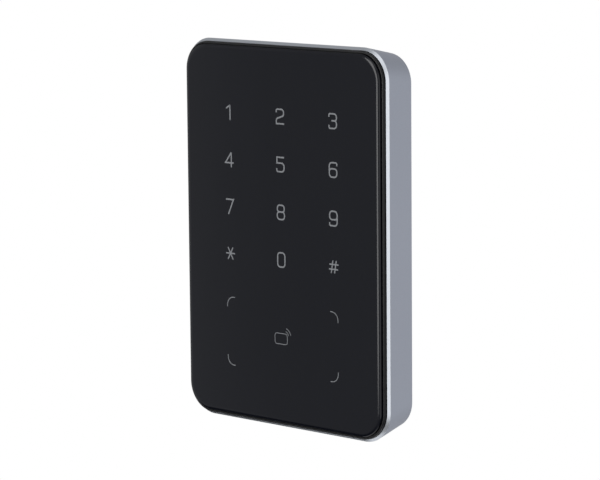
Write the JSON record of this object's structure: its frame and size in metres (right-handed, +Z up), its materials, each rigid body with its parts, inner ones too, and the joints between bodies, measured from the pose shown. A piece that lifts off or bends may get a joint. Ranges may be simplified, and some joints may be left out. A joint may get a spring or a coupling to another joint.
{
  "type": "rfid card reader with keypad",
  "caption": "Wall-mounted card reader with a flat black touch keypad in a tapered aluminium frame, on a hidden steel wall bracket.",
  "frame": {"origin": "middle of the wall bracket's rear face, which lies on the wall", "axes": "+Z up, -Y out of the glass towards the user, +Y into the wall, +X to the right as the user sees it"},
  "size_m": [0.0892, 0.0166, 0.126],
  "materials": {
    "black_glass": "black-backed glass, gloss",
    "adhesive_tape": "black foam tape",
    "clear_film": "printed clear film",
    "gloss_black_plastic": "moulded, gloss",
    "white_plastic": "moulded, matte white",
    "light_package": "small light with a yellowish lens",
    "enamelled_copper": "wound enamelled wire",
    "board_green": "green solder mask",
    "package_black": "moulded component package",
    "steel_can": "pressed can",
    "socket_ivory": "moulded nylon",
    "plunger_plastic": "moulded, red",
    "spring_steel": "drawn wire",
    "satin_aluminium": "fine blasted and anodised sides, polished chamfer",
    "matte_black_plastic": "moulded, fine texture",
    "black_rubber": "moulded",
    "zinc_plated_steel": "zinc-plated sheet",
    "screw_steel": "plated"
  },
  "bodies": {
    "root": {"antenna_coil": "enamelled_copper", "board_link": "socket_ivory", "buzzer": "package_black", "cable_grommet": "black_rubber", "cable_socket": "socket_ivory", "capacitor_1": "package_black", "capacitor_2": "package_black", "card_chip": "package_black", "card_light_guide": "white_plastic", "card_light_lower_left": "light_package", "card_light_lower_right": "light_package", "card_light_middle": "light_package", "card_light_upper_left": "light_package", "card_light_upper_right": "light_package", "case_screw_lower_left": "screw_steel", "case_screw_lower_right": "screw_steel", "case_screw_upper_left": "screw_steel", "case_screw_upper_right": "screw_steel", "crystal": "steel_can", "front_cover": "gloss_black_plastic", "glass_adhesive": "adhesive_tape", "housing_seal": "black_rubber", "inductor": "package_black", "key_light_0": "light_package", "key_light_1": "light_package", "key_light_2": "light_package", "key_light_3": "light_package", "key_light_4": "light_package", "key_light_5": "light_package", "key_light_6": "light_package", "key_light_7": "light_package", "key_light_8": "light_package", "key_light_9": "light_package", "key_light_guide": "white_plastic", "key_light_hash": "light_package", "key_light_star": "light_package", "keypad_board": "board_green", "keypad_screw_lower_left": "screw_steel", "keypad_screw_lower_right": "screw_steel", "keypad_screw_upper_left": "screw_steel", "keypad_screw_upper_right": "screw_steel", "line_driver": "package_black", "main_board": "board_green", "main_screw_left": "screw_steel", "main_screw_right": "screw_steel", "metal_frame": "satin_aluminium", "processor": "package_black", "rear_housing": "matte_black_plastic", "regulator": "package_black", "tamper_spring": "spring_steel", "tamper_switch": "package_black", "touch_controller": "package_black", "touch_film": "clear_film", "touch_glass": "black_glass", "wall_bracket": "zinc_plated_steel"},
    "plunger": {"tamper_plunger": "plunger_plastic"},
    "screw": {"security_screw": "screw_steel"}
  },
  "joints": [
    {"name": "tamper_plunger_travel", "type": "slide", "parent": "root", "child": "plunger", "axis": [0, 1, 0], "range_m": [0, 0.0012], "stiffness_N_per_m": 200, "springref_m": 0.0016, "deforming": ["tamper_spring"]},
    {"name": "security_screw_withdraw", "type": "slide", "parent": "root", "child": "screw", "axis": [0, 0, -1], "range_m": [0, 0.006]}
  ]
}
